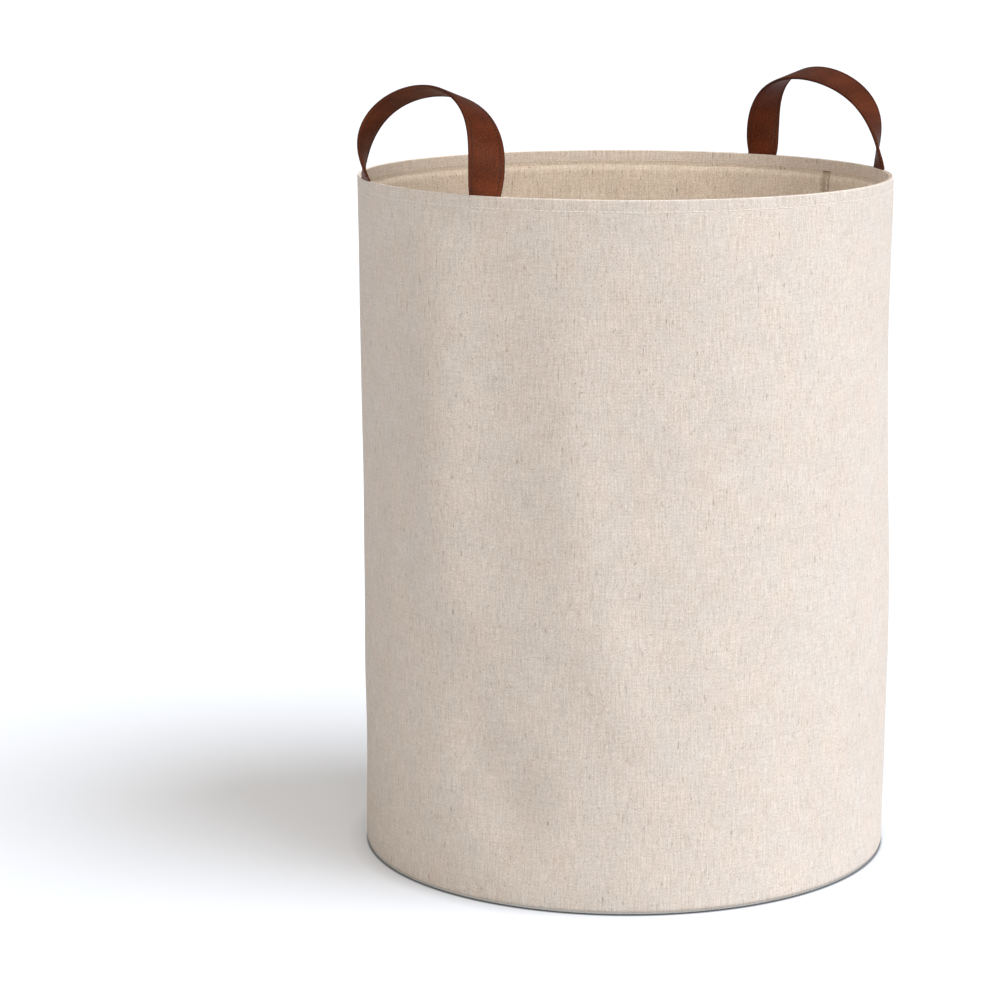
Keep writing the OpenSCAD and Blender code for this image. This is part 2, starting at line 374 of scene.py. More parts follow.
def wall_stitches(name, angles, r, z, ahead, out, length, thick, draw):
    """Stitches at places on the wall. Each runs the way that ahead goes, in degrees and up."""
    here = warp(cylinder_points(angles, r, z))
    further = warp(cylinder_points(angles + ahead[0], r, z + ahead[1]))
    a = np.radians(angles)
    outs = out * np.stack([np.cos(a), np.sin(a), 0 * a], axis=1)
    return stitches(name, here, unit(further - here), outs, length, thick, thick * 0.45, draw)


def ring_stitches(name, r, z, pitch, length, thick, out=1, slack=None, spans=None, seed=1):
    """Stitches in a level row on the wall. spans are (centre angle, width) where it isn't all
    round; out is 1 on the outer side and -1 on the inner."""
    draw = np.random.default_rng(SEED + seed)
    if spans is None:
        angles = around(pitch, r)
    else:
        angles = []
        for centre, width in spans:
            count = max(2, int(round(width / pitch)))
            half = math.degrees((width - pitch) / 2 / r)
            angles.extend(np.linspace(centre - half, centre + half, count))
        angles = np.array(angles)
    zz = z + draw.normal(0, 0.06, len(angles))
    rr = r - (slack(angles, zz) if slack is not None else 0) + 0 * angles
    return wall_stitches(name, angles, rr, zz, (0.2, 0), out, length, thick, draw)


def upright_stitches(name, r, angles, z_low, z_high, pitch, length, thick, slack, seed):
    """Stitches in upright rows inside the bin, at each angle."""
    draw = np.random.default_rng(SEED + seed)
    z = np.arange(z_low + pitch / 2, z_high, pitch)
    a = np.repeat(angles, len(z))
    z = np.tile(z, len(angles))
    rr = r - slack(a, z)
    return wall_stitches(name, a, rr, z, (0, 0.5), -1, length, thick, draw)


# ---- Node helpers for materials ----


class Nodes:
    """A material's node tree, with short calls for the nodes used here."""

    def __init__(self, name):
        self.material = bpy.data.materials.new(name)
        self.material.use_nodes = True
        self.tree = self.material.node_tree
        self.tree.nodes.clear()
        self.output = self.tree.nodes.new("ShaderNodeOutputMaterial")
        self.shader = self.tree.nodes.new("ShaderNodeBsdfPrincipled")
        self.link(self.shader.outputs[0], self.output.inputs[0])

    def link(self, source, target):
        self.tree.links.new(source, target)

    def feed(self, socket, value):
        """Links a socket, or sets it to a plain value."""
        if isinstance(value, bpy.types.NodeSocket):
            self.link(value, socket)
        else:
            socket.default_value = value

    def cloth(self, u_scale=1.0, v_scale=1.0, shift=0.0):
        """Places on the cloth, in millimetres times the scales: across the cloth, then up it."""
        uv = self.tree.nodes.new("ShaderNodeUVMap")
        uv.uv_map = "cloth"
        place = self.tree.nodes.new("ShaderNodeMapping")
        self.link(uv.outputs[0], place.inputs["Vector"])
        place.inputs["Scale"].default_value = (u_scale / MM, v_scale / MM, 1)
        place.inputs["Location"].default_value = (shift, shift * 0.37, shift * 0.11)
        return place.outputs[0]

    def solid(self, scale=1.0, stretch=(1, 1, 1)):
        """Places in space, in millimetres times the scale."""
        where = self.tree.nodes.new("ShaderNodeTexCoord")
        place = self.tree.nodes.new("ShaderNodeMapping")
        self.link(where.outputs["Object"], place.inputs["Vector"])
        place.inputs["Scale"].default_value = tuple(scale * s / MM for s in stretch)
        return place.outputs[0]

    def noise(self, place, detail=2.0, roughness=0.5, distortion=0.0):
        node = self.tree.nodes.new("ShaderNodeTexNoise")
        self.link(place, node.inputs["Vector"])
        node.inputs["Scale"].default_value = 1.0
        node.inputs["Detail"].default_value = detail
        node.inputs["Roughness"].default_value = roughness
        node.inputs["Distortion"].default_value = distortion
        return node.outputs[0]

    def cells(self, place):
        node = self.tree.nodes.new("ShaderNodeTexVoronoi")
        node.feature = "F1"
        self.link(place, node.inputs["Vector"])
        node.inputs["Scale"].default_value = 1.0
        return node.outputs["Distance"]

    def parts(self, place):
        """The x, y and z of a place."""
        node = self.tree.nodes.new("ShaderNodeSeparateXYZ")
        self.link(place, node.inputs[0])
        return node.outputs

    def wave(self, place, axis):
        """Even bands along one axis of place, one each 1 unit, from 0 to 1."""
        turn = self.math("MULTIPLY", self.parts(place)[axis], 2 * math.pi)
        return self.math("MULTIPLY_ADD", self.math("SINE", turn), 0.5, 0.5)

    def math(self, operation, a, b=None, c=None):
        node = self.tree.nodes.new("ShaderNodeMath")
        node.operation = operation
        for socket, value in zip(node.inputs, (a, b, c)):
            if value is not None:
                self.feed(socket, value)
        return node.outputs[0]

    def ramp(self, value, low, high, start=0.0, end=1.0):
        """value from low to high becomes start to end, and is held past them."""
        node = self.tree.nodes.new("ShaderNodeMapRange")
        self.feed(node.inputs[0], value)
        for socket, number in zip(node.inputs[1:5], (low, high, start, end)):
            socket.default_value = number
        return node.outputs[0]

    def mix(self, share, a, b, blend="MIX"):
        node = self.tree.nodes.new("ShaderNodeMix")
        node.data_type = "RGBA"
        node.blend_type = blend
        self.feed(node.inputs["Factor"], share)
        for socket, value in ((node.inputs[6], a), (node.inputs[7], b)):
            self.feed(socket, value)
        return node.outputs[2]

    def bump(self, height, distance, strength=1.0, under=None):
        node = self.tree.nodes.new("ShaderNodeBump")
        node.inputs["Strength"].default_value = strength
        node.inputs["Distance"].default_value = distance * MM
        self.feed(node.inputs["Height"], height)
        if under is not None:
            self.link(under, node.inputs["Normal"])
        return node.outputs[0]

    def finish(self, colour, roughness, normal=None, **plain):
        """Feeds the shader. plain are values that are the same all over the surface."""
        self.feed(self.shader.inputs["Base Color"], colour)
        self.feed(self.shader.inputs["Roughness"], roughness)
        if normal is not None:
            self.link(normal, self.shader.inputs["Normal"])
        for name, value in plain.items():
            self.shader.inputs[name.replace("_", " ")].default_value = value
        return self.material


def colour(red, green, blue):
    """A linear colour with alpha, from 0-255 screen values."""
    def linear(c):
        c = c / 255
        return c / 12.92 if c <= 0.04045 else ((c + 0.055) / 1.055) ** 2.4
    return (linear(red), linear(green), linear(blue), 1.0)


# ---- Materials ----

THREADS_PER_MM = 1.15
# How far the tape's ribs turn through their wave in each millimetre, in radians
RIB_TURN = 5.2


def linen(name, base, fleck, warm, cool, contrast=1.0):
    """Plain-weave linen canvas: a fine uneven grain, thin threads both ways, small dark flecks
    and soft patches of warmer and cooler yarn."""
    m = Nodes(name)
    upright = m.noise(m.cloth(1.25, 0.07), 3, 0.6)
    level_threads = m.noise(m.cloth(0.09, 1.3, 31), 3, 0.6)
    grain = m.noise(m.cloth(1.5, 1.25, 11), 3, 0.75)
    mottle = m.noise(m.cloth(0.42, 0.3, 19), 4, 0.65)
    slubs = m.noise(m.cloth(0.7, 0.16, 57), 2, 0.5)
    specks = m.noise(m.cloth(0.85, 0.6, 83), 1, 0.5)
    hue = m.noise(m.cloth(0.06, 0.035, 5), 5, 0.7)
    broad = m.noise(m.cloth(0.026, 0.03, 71), 5, 0.6, 0.4)
    threads = m.cloth(THREADS_PER_MM, THREADS_PER_MM)
    cloth = m.mix(m.ramp(hue, 0.36, 0.64), warm, cool)
    cloth = m.mix(m.ramp(mottle, 0.3, 0.7, 0.65, 0.25), base, cloth)
    # Each pattern darkens the cloth by up to its share as it goes from low to high
    for value, low, high, share in (
        (grain, 0.62, 0.34, 0.46),
        (upright, 0.60, 0.32, 0.26),
        (level_threads, 0.60, 0.32, 0.12),
        (mottle, 0.60, 0.36, 0.06),
        (broad, 0.62, 0.38, 0.05),
        (slubs, 0.64, 0.78, 0.60),
        (specks, 0.71, 0.78, 0.8),
    ):
        cloth = m.mix(m.ramp(value, low, high, 0.0, share * contrast), cloth, fleck, "MULTIPLY")
    weave = m.math("MULTIPLY", m.wave(threads, 0), m.wave(threads, 1))
    relief = m.math("ADD", weave, m.math("MULTIPLY", upright, 0.9))
    relief = m.math("ADD", relief, m.math("MULTIPLY", grain, 1.1))
    normal = m.bump(relief, 0.16, 0.6)
    normal = m.bump(slubs, 0.25, 0.35, normal)
    return m.finish(cloth, m.ramp(grain, 0.3, 0.7, 0.84, 0.97), normal,
                    Sheen_Weight=0.05, Sheen_Roughness=0.6, Specular_IOR_Level=0.15)


def twill_tape(name, base, fleck):
    """Woven tape: fine slanted ribs."""
    m = Nodes(name)
    across, up, _ = m.parts(m.cloth())
    slant = m.math("MULTIPLY", m.math("ADD", across, up), RIB_TURN)
    rib = m.math("MULTIPLY_ADD", m.math("SINE", slant), 0.5, 0.5)
    grain = m.noise(m.cloth(1.4, 1.4, 3), 3, 0.65)
    patch_noise = m.noise(m.cloth(0.06, 0.06, 9), 3, 0.6)
    shaded = m.mix(m.math("MULTIPLY", rib, 0.25), base, fleck, "MULTIPLY")
    worn = m.mix(m.ramp(patch_noise, 0.35, 0.65, 0.0, 0.3), shaded, fleck, "MULTIPLY")
    grained = m.mix(m.ramp(grain, 0.4, 0.7, 0.0, 0.35), worn, fleck, "MULTIPLY")
    normal = m.bump(m.math("ADD", rib, grain), 0.2, 0.6)
    return m.finish(grained, 0.9, normal, Sheen_Weight=0.1, Specular_IOR_Level=0.25)


def spun_thread(name, base, shade):
    """Thread with a fine uneven grain and soft paler and darker stretches."""
    m = Nodes(name)
    grain = m.noise(m.solid(2.6), 2, 0.6)
    broad = m.noise(m.solid(0.05), 2, 0.5)
    mixed = m.mix(m.ramp(grain, 0.35, 0.65), base, shade)
    toned = m.mix(m.ramp(broad, 0.35, 0.65, 0.0, 0.35), mixed, shade)
    return m.finish(toned, 0.8, m.bump(grain, 0.12, 0.7), Sheen_Weight=0.1,
                    Specular_IOR_Level=0.3)


def leather(name, base, deep, warm, edge):
    """Oiled leather: a fine pebbled grain, soft clouding and dark painted edges."""
    m = Nodes(name)
    clouds = m.noise(m.cloth(0.05, 0.07, 13), 4, 0.6)
    bands = m.noise(m.cloth(0.06, 0.015, 3), 2, 0.5)
    grain = m.noise(m.cloth(0.85, 0.95, 29), 5, 0.75)
    pebbles = m.cells(m.cloth(1.1, 1.1, 7))
    creases = m.noise(m.cloth(0.5, 0.12, 41), 3, 0.6, 0.6)
    tone = m.mix(m.ramp(clouds, 0.32, 0.68), deep, base)
    tone = m.mix(m.ramp(bands, 0.45, 0.70, 0.0, 0.55), tone, warm)
    tone = m.mix(m.ramp(grain, 0.50, 0.66, 0.0, 0.8), tone, warm)
    tone = m.mix(m.ramp(grain, 0.49, 0.33, 0.0, 0.95), tone, deep)
    from_middle = m.math("ABSOLUTE", m.parts(m.cloth())[1])
    rim = m.ramp(m.math("MULTIPLY_ADD", grain, 0.5, from_middle), STRAP_W / 2 - 0.2,
                 STRAP_W / 2 + 0.3)
    dyed = m.mix(rim, tone, edge)
    relief = m.math("MULTIPLY_ADD", pebbles, 0.5, grain)
    normal = m.bump(relief, 0.12, 0.5)
    normal = m.bump(creases, 0.25, 0.3, normal)
    return m.finish(dyed, m.ramp(grain, 0.3, 0.7, 0.46, 0.62), normal, Specular_IOR_Level=0.12,
                    Specular_Tint=(1.0, 0.72, 0.55, 1.0))


def plain(name, base, shade, scale, roughness, bump_mm, metallic=0.0, stretch=(1, 1, 1)):
    """A material with one noise in its colour, roughness and relief, for hidden parts."""
    m = Nodes(name)
    grain = m.noise(m.solid(scale, stretch), 4, 0.6)
    toned = m.mix(m.ramp(grain, 0.35, 0.65), base, shade)
    rough = m.ramp(grain, 0.3, 0.7, roughness - 0.06, roughness + 0.06)
    return m.finish(toned, rough, m.bump(grain, bump_mm, 0.5), Metallic=metallic)


CANVAS = linen("canvas_linen", colour(222, 213, 204), colour(170, 154, 137),
               colour(225, 208, 193), colour(216, 210, 201))
LINING = linen("lining_linen", colour(226, 214, 200), colour(176, 156, 134),
               colour(228, 210, 194), colour(218, 210, 194), 1.3)
FACING = linen("facing_linen", colour(228, 217, 206), colour(178, 158, 138),
               colour(230, 214, 200), colour(218, 212, 202), 1.2)
TAPE = twill_tape("seam_tape_twill", colour(188, 172, 152), colour(162, 144, 126))
THREAD = spun_thread("hem_thread_spun", colour(229, 220, 209), colour(209, 197, 184))
INNER_THREAD = spun_thread("inner_thread_spun", colour(216, 202, 186), colour(198, 184, 168))
LEATHER = leather("strap_leather", colour(84, 37, 19), colour(62, 27, 14), colour(103, 51, 30),
                  colour(45, 23, 14))
LEATHER_THREAD = spun_thread("strap_thread_spun", colour(34, 17, 11), colour(22, 11, 8))
FOAM = plain("stiffener_foam", colour(238, 237, 232), colour(216, 214, 206), 0.9, 0.95, 0.3)
STEEL = plain("hoop_spring_steel", colour(168, 170, 174), colour(138, 140, 146), 0.3, 0.35, 0.02,
              1.0, (1, 1, 12))
BOARD = plain("base_cardboard", colour(170, 142, 108), colour(142, 116, 86), 0.25, 0.9, 0.1,
              0.0, (1, 5, 1))


def dress(piece, material):
    """Gives a piece its material."""
    piece.data.materials.clear()
    piece.data.materials.append(material)
    return piece


def settle(piece, material, slot, *nodes):
    """A piece that stays with the bin and stands for CAD nodes."""
    dress(piece, material)
    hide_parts(*nodes)
    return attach(piece, "root")


# ---- Wall ----


def root_share(angle, r, width):
    """1 inside the width of a strap root, 0 outside it."""
    inside = np.zeros_like(np.asarray(angle, float))
    for root in ALL_ROOTS:
        gap = width / 2 - np.abs(np.radians(angle_off(angle, root))) * r
        inside = np.maximum(inside, smooth(gap / 0.4 + 0.5))
    return inside


def arc(centre_r, centre_z, radius, start, end, count):
    """Points on an arc in the (r, z) plane, from angle start to end in degrees."""
    turns = map(math.radians, np.linspace(start, end, count))
    return [(centre_r + radius * math.cos(t), centre_z + radius * math.sin(t)) for t in turns]


# Pitch, length and thickness of a stitch
HEM_STITCH = (3.6, 3.0, 0.55)
TACK = (3.2, 2.8, 0.6)
TAPE_STITCH = (3.4, 2.9, 0.5)
BINDING_STITCH = (3.6, 3.0, BINDING_THREAD_T)
STRAP_STITCH = (2.5, 1.8, 0.55)
HEM_STITCHES = len(around(HEM_STITCH[0]))
# How deep the threads draw the canvas in: all along the hem row, more at each stitch, and at a tack
STITCH_SINK, STITCH_PULL, TACK_SINK = 0.16, 0.10, 0.12


def canvas_wall():
    """The outer canvas, with its bottom edge turned under and its top turned in over the core."""
    fold = 1.0
    bottom = 3.0
    off_floor = 0.9
    slot_depth = 2.2
    bottom_z = bottom + off_floor
    inner_fold = fold - CANVAS_T / 2
    outside = [(WALL_R, z) for z in np.linspace(bottom_z + 1, RIM_Z - 16, 64)]
    hem = [(WALL_R, z) for z in np.linspace(RIM_Z - 15, RIM_Z - fold - 0.6, 16)]
    profile = [
        *arc(WALL_R - bottom, bottom_z, bottom, -80, 0, 6),
        *outside,
        *hem,
        *arc(WALL_R - fold, RIM_Z - fold, fold, 0, 90, 5),
        (LINING_R + 1.2, RIM_Z),
        (LINING_R + 0.1, RIM_Z - 0.25),
        (LINING_R + 0.1, RIM_Z - CANVAS_T),
        (LINING_R + 1.2, RIM_Z - CANVAS_T),
        *arc(WALL_R - fold, RIM_Z - fold, inner_fold, 90, 0, 3),
        *[(CORE_R + 0.05, z) for z in np.linspace(RIM_Z - 4, bottom_z + 2, 40)],
        (CORE_R - 0.2, 2.2),
    ]

    def shape(angle, r, z):
        stitch = bell(z, STITCH_Z, 1.1) * (r > WALL_R - 0.3)
        pull = 0.5 + 0.5 * np.cos(np.radians(angle) * HEM_STITCHES)
        r = r - stitch * (STITCH_SINK + STITCH_PULL * pull)
        hem_edge = smooth((z - (STITCH_Z - 3)) / 2) * (r > WALL_R - 0.6)
        r = r + 0.12 * hem_edge * np.sin(np.radians(angle) * 41 + 1.3)
        slot = root_share(angle, STRAP_R, SLOT_W)
        in_fold = (z > RIM_Z - 1.5) & (r < STRAP_R + STRAP_T / 2 + 0.15)
        z = z - slot * in_fold * slot_depth
        tack = bell(z, TACK_Z, 1.3) * root_share(angle, WALL_R, STRAP_W)
        r = r - TACK_SINK * tack * (r > WALL_R - 0.4)
        return r, z

    piece = tube("canvas_wall", profile, around(1.9), finish=shape)
    settle(piece, CANVAS, "canvas", "outer_wall")
    return piece


def foam_wall():
    """The foam between the canvas and the lining, notched where the strap ends go down."""
    low = CANVAS_T
    profile = [
        *[(CORE_R - 0.1, z) for z in np.linspace(low, CORE_TOP, 28)],
        *[(LINING_R + 0.1, z) for z in np.linspace(CORE_TOP, low, 28)],
    ]

    def notch(angle, r, z):
        slot = root_share(angle, STRAP_R, SLOT_W)
        top = CORE_TOP - slot * (CORE_TOP - END_LOW + 1)
        return r, np.minimum(z, top)

    piece = tube("foam_wall", profile, around(3.0), finish=notch)
    settle(piece, FOAM, "foam", "wall_stiffener")
    return piece


def lining_wall():
    """The inner canvas, a little slack against the foam."""
    top = RIM_Z - 0.35
    profile = [
        *[(LINING_R, z) for z in np.linspace(FLOOR_TOP, top - 0.3, 34)],
        (LINING_R - 0.2, top),
        (FACING_R + 0.2, top),
        *[(FACING_R, z) for z in np.linspace(top - 0.3, FACING_LOW - 16, 14)],
        *[(FACING_R, z) for z in np.linspace(FACING_LOW - 20, FLOOR_TOP, 50)],
    ]
    piece = tube("lining_wall", profile, around(2.2), slack=lining_slack)
    settle(piece, LINING, "lining", "wall_lining")
    return piece


def hem_band():
    """The tape stitched down inside the mouth, with soft puckers between its stitches and a
    raised join where its ends overlap."""
    top = RIM_Z - 0.15
    outer, inner = FACING_R - 0.02, FACING_R - FACING_T
    profile = [
        (outer, FACING_LOW + 0.1),
        *[(outer, z) for z in np.linspace(FACING_LOW + 1, top - 0.3, 5)],
        (outer - 0.15, top),
        (inner + 0.15, top),
        *[(inner, z) for z in np.linspace(top - 0.3, FACING_LOW + 0.5, 14)],
        (inner, FACING_LOW + 0.15),
        (inner + 0.1, FACING_LOW),
    ]

    def pucker(angle, r, z):
        inside = r + lining_slack(angle, z) < inner + 0.3
        dip = bell(z, STITCH_Z, 0.9)
        thin = smooth((FACING_LOW + 3 - z) / 3)
        waves = 0.5 + 0.5 * np.sin(np.radians(angle) * 74 + 2 * np.sin(np.radians(angle) * 9))
        past_join = np.radians(angle_off(angle, 0)) * inner
        join = bell(past_join, 0, 0.6)
        step = smooth(past_join / 0.6 + 0.5) * smooth((6 - past_join) / 4)
        shaped = r + 0.2 * dip + 0.38 * thin * (1 - 0.3 * waves) + 0.5 * join - 0.45 * step
        return np.where(inside, shaped, r), z

    close = np.degrees(np.linspace(-2.4, 2.4, 17)[1:-1] / inner)
    angles = np.unique(np.round(np.concatenate([around(2.0), close % 360]), 5))
    piece = tube("hem_band", profile, angles, slack=lining_slack, finish=pucker)
    settle(piece, FACING, "lining", "hem_facing")
    return piece


def seam_tape():
    """The tape over the upright seam, with a row of stitches near each long edge."""
    turn = math.degrees(TAPE_W / FACING_R)
    tape_r = FACING_R - 0.03
    piece = patch("seam_tape", tape_r, TAPE_T, BINDING_TOP - 1, FACING_LOW + 1.5, 0.0, turn, 8,
                  150, lining_slack)
    settle(piece, TAPE, "lining", "side_seam_tape")
    inset = math.degrees(1.6 / FACING_R)
    rows = upright_stitches("seam_tape_stitches", tape_r - TAPE_T, [inset, turn - inset],
                            BINDING_TOP, FACING_LOW, *TAPE_STITCH, lining_slack, 4)
    settle(rows, INNER_THREAD, "thread", "side_seam_thread")
    return piece


# ---- Base ----


def disc(name, r, z_low, z_high, top_shape=None):
    """A closed round sheet with a rounded edge. top_shape lifts its upper face."""
    angles = around(6.0)
    rings = 26
    edge = 0.4
    radii = [*np.linspace(4, r - edge - 1, rings), r - edge * 0.4, r]
    mid = (z_low + z_high) / 2
    outer = [(x, z_high) for x in radii[:-1]] + [(r, mid)] + [(x, z_low) for x in radii[:-1]][::-1]
    points = cylinder_points(*sweep(angles, outer))
    top = len(radii)
    if top_shape is not None:
        lift = top_shape(points[:, :top, 0], points[:, :top, 1])
        points[:, :top, 2] += lift
    rows, cols = points.shape[:2]
    flat = points.reshape(-1, 3)
    i0, j0, i1, j1 = grid_faces(rows, cols, True, False)
    quads = np.stack([(i0 % rows) * cols + j0, (i0 % rows) * cols + j1, (i1 % rows) * cols + j1,
                      (i1 % rows) * cols + j0], axis=1)
    faces = [tuple(q) for q in quads]
    lift_mid = 0 if top_shape is None else float(top_shape(np.zeros(1), np.zeros(1))[0])
    centres = [[0, 0, z_high + lift_mid], [0, 0, z_low]]
    flat = np.vstack([flat, centres])
    high, low = len(flat) - 2, len(flat) - 1
    for i in range(rows):
        n = (i + 1) % rows
        faces.append((high, i * cols, n * cols))
        faces.append((low, n * cols + cols - 1, i * cols + cols - 1))
    uvs = [flat[v, :2] * MM for f in faces for v in f]
    return make_mesh(name, flat, faces, uvs)


def base_pieces():
    """The canvas under the board, the lining over it and the bound seam."""
    seam_set_back = 2.6
    under = disc("base_canvas", CORE_R - seam_set_back, 0.0, CANVAS_T)
    settle(under, CANVAS, "canvas", "base_cover")

    def loose(x, y):
        r = np.hypot(x, y)
        soft = (np.sin(x / 31 + 0.7) * np.cos(y / 27 + 0.2) + np.sin((x + y) / 44)) / 2
        return (0.8 + 0.7 * soft) * smooth((155 - r) / 40)

    inside = disc("base_lining_cloth", FACING_R, BOARD_TOP, FLOOR_TOP, loose)
    settle(inside, LINING, "lining", "base_lining")

    outer = FACING_R - 0.1
    profile = [
        (outer, FLOOR_TOP),
        *[(outer, z) for z in np.linspace(FLOOR_TOP + 2, BINDING_TOP - 0.6, 5)],
        *arc(outer - BINDING_T / 2, BINDING_TOP - 0.6, BINDING_T / 2, 0, 180, 5),
        *[(outer - BINDING_T, z) for z in np.linspace(BINDING_TOP - 1.4, FLOOR_TOP, 8)],
    ]

    def sewn(angle, r, z):
        dip = bell(z, BINDING_STITCH_Z, 0.9) * (r < outer - BINDING_T / 2)
        return r + 0.25 * dip + 0.15 * np.sin(np.radians(angle) * 63), z

    binding = tube("base_binding", profile, around(2.4), finish=sewn)
    settle(binding, TAPE, "lining", "base_seam_binding")
    rows = ring_stitches("base_binding_stitches", outer - BINDING_T, BINDING_STITCH_Z,
                         *BINDING_STITCH, out=-1, seed=5)
    settle(rows, THREAD, "thread", "base_seam_thread")


# ---- Hem threads ----


def hem_threads():
    """The lockstitch row round the hem, on both sides, and the tacks below each strap end."""
    outside = ring_stitches("hem_stitches", WALL_R - 0.2, STITCH_Z, *HEM_STITCH, seed=2)
    settle(outside, THREAD, "thread", "hem_thread")
    inside = ring_stitches("hem_stitches_inside", FACING_R - FACING_T + 0.2, STITCH_Z,
                           *HEM_STITCH, out=-1, slack=lining_slack, seed=3)
    dress(inside, INNER_THREAD)
    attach(inside, "root")
    spans = [(root, STRAP_W - 3) for root in ALL_ROOTS]
    tacks = ring_stitches("strap_tacks", WALL_R - 0.12, TACK_Z, *TACK, spans=spans, seed=6)
    settle(tacks, THREAD, "thread", "strap_tack_thread")


# ---- Handles ----

# Control points of each loop's centre line near its first root and its second, as distances
# [inward from that root along the chord, outward, up], and control angles of its turn
LOOPS = {
    "left": (
        [[-5, 0, 45], [10, -15, 75]],
        [[10, -20, 70], [-5, 10, 45]],
        [-10, 65, 10, 15, 0],
    ),
    "right": (
        [[5, 0, 35], [-10, -5, 85]],
        [[10, -10, 60], [5, 5, 55]],
        [-10, 50, 0, 40, -10],
    ),
}
WALL_TURN = 90 - ROOT_ANGLE
HALF_SPAN = STRAP_R * math.sin(math.radians(ROOT_ANGLE))
CHORD_OUT = STRAP_R * math.cos(math.radians(ROOT_ANGLE))
# How far from the strap's middle its two rows of stitches run
GROOVE_AT = STRAP_W / 2 - 2.5


def bezier(points, u):
    """A Bezier curve's values at each u."""
    points = np.asarray(points, float)
    n = len(points) - 1
    basis = np.stack([math.comb(n, k) * u**k * (1 - u) ** (n - k) for k in range(n + 1)], axis=1)
    return basis @ points


class Loop:
    """One handle's strap in the bin's frame, from deep in the hem at its first root to deep in
    the hem at its second."""

    def __init__(self, side):
        near, far, turns = LOOPS[side]
        first = [[0, 0, 0], *near]
        second = [*far, [0, 0, 0]]
        self.controls = [[p[0] - HALF_SPAN, p[1] + CHORD_OUT, p[2]] for p in first]
        self.controls += [[HALF_SPAN - p[0], p[1] + CHORD_OUT, p[2]] for p in second]
        self.turns = [-WALL_TURN, *turns, -WALL_TURN]
        fine = np.linspace(0, 1, 2001)
        line = bezier(self.controls, fine)
        gone = np.concatenate([[0], np.cumsum(np.linalg.norm(np.diff(line, axis=0), axis=1))])
        self.fine, self.gone, self.length = fine, gone, gone[-1]
        self.middle = HANDLE_MIDDLES[side]

    def frames(self, distances):
        """The middle and the directions along, across and out of the strap's face, at distances
        along it. Distances below 0 or past its length lie straight down inside the hem."""
        inside = np.clip(distances, 0, self.length)
        u = np.interp(inside, self.gone, self.fine)
        place = bezier(self.controls, u)
        along = unit(bezier(np.diff(np.array(self.controls), axis=0), u))
        below = distances < 0
        past = distances > self.length
        place[below, 2] += distances[below]
        place[past, 2] -= distances[past] - self.length
        along[below] = (0, 0, 1)
        along[past] = (0, 0, -1)
        outward = unit(np.array([0, 1.0, 0]) - along[:, 1:2] * along)
        aside = np.cross(along, outward)
        turn = np.radians(bezier(np.array(self.turns)[:, None], u))
        width = np.cos(turn) * outward + np.sin(turn) * aside
        face = np.cross(along, width)
        spin = math.radians(self.middle - 90)
        c, s = math.cos(spin), math.sin(spin)
        turned = np.array([[c, s, 0], [-s, c, 0], [0, 0, 1]])
        place = place @ turned + np.array([0, 0, RIM_Z])
        return place, along @ turned, width @ turned, face @ turned


# The straps leave the flat-sewn rim's pull over this height above it
SEAT_RISE = 14


def seat(points):
    """Moves a strap's points with the flat-sewn rim that holds them."""
    x, y, z = points.T
    angle = np.degrees(np.arctan2(y, x))
    held = in_hem(z) * smooth((RIM_Z + SEAT_RISE - z) / SEAT_RISE)
    k = 1 + held * (WALL_R - STRAP_R) * (1 - HEM_PINCH) / WALL_R
    return np.stack([x * k, y * k, z + rim_lift(angle, np.full_like(z, RIM_Z))], axis=1)


def strap_section():
    """The strap's closed outline as (across, out): two padded faces, stitch grooves and rounded
    edges."""
    half, thick = STRAP_W / 2, STRAP_T / 2
    groove_w = 0.55
    across = np.concatenate([np.linspace(-half + 0.45, -GROOVE_AT - 1.1, 3),
                             np.linspace(-GROOVE_AT - 0.6, -GROOVE_AT + 0.6, 5),
                             np.linspace(-GROOVE_AT + 1.4, GROOVE_AT - 1.4, 9),
                             np.linspace(GROOVE_AT - 0.6, GROOVE_AT + 0.6, 5),
                             np.linspace(GROOVE_AT + 1.1, half - 0.45, 3)])
    groove = bell(np.abs(across), GROOVE_AT, groove_w)
    pad = 0.12 * (1 - (across / half) ** 2)
    out = thick - 0.22 * groove + pad - 0.25 * smooth((np.abs(across) - half + 1.2) / 1.2)
    top = list(zip(across, out))
    # The seam between the two leather layers is a shallow groove along each edge
    right = [(half - 0.08, thick * 0.45), (half - 0.22, 0), (half - 0.08, -thick * 0.45)]
    bottom = [(x, -o) for x, o in zip(across[::-1], out[::-1])]
    left = [(-x, -o) for x, o in right]
    return np.array([*top, *right, *bottom, *left])


STRAP_DEEP = RIM_Z - END_LOW
# Share of its thickness that the leather keeps inside the hem
SKIVED = 0.62
# Lengths past the hem over which the leather gets its full thickness and its full unevenness
THICK_AFTER, UNEVEN_AFTER = 7, 14


def unevenness(distances, draw):
    """How far the leather's edges wave in and out along a strap."""
    total = 0
    for _ in range(4):
        size = draw.uniform(0.03, 0.08)
        stretch = draw.uniform(7, 19)
        phase = draw.uniform(0, 6)
        total = total + size * np.sin(distances / stretch + phase)
    return total


